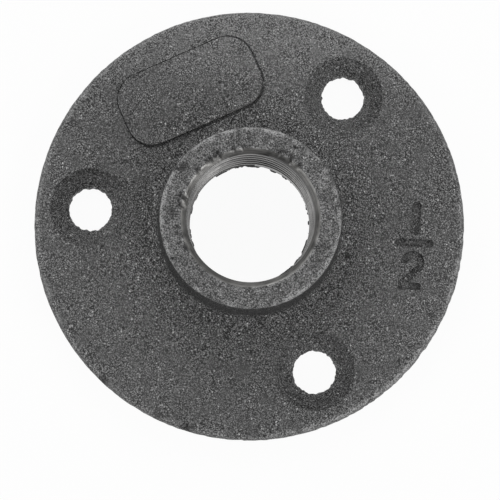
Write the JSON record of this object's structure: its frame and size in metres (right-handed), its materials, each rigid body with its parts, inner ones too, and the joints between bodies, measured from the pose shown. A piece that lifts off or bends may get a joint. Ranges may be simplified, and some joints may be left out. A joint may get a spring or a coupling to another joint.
{
  "type": "threaded floor flange",
  "caption": "Round cast-iron floor flange with a short threaded hub for a half-inch pipe, countersunk screw holes and a bare raised pad.",
  "frame": {"origin": "centre of the flat back face, on the axis of the pipe bore", "axes": "+Z along the bore out of the hub's mouth, +X towards the cast size mark's side, +Y towards the upper edge as pictured"},
  "size_m": [0.063, 0.063, 0.015],
  "materials": {
    "iron": "bare sand-cast iron, dark grey and grainy, worn brighter on the hub's edge and in the machined thread"
  },
  "bodies": {
    "root": {"flange": "iron"}
  },
  "joints": []
}
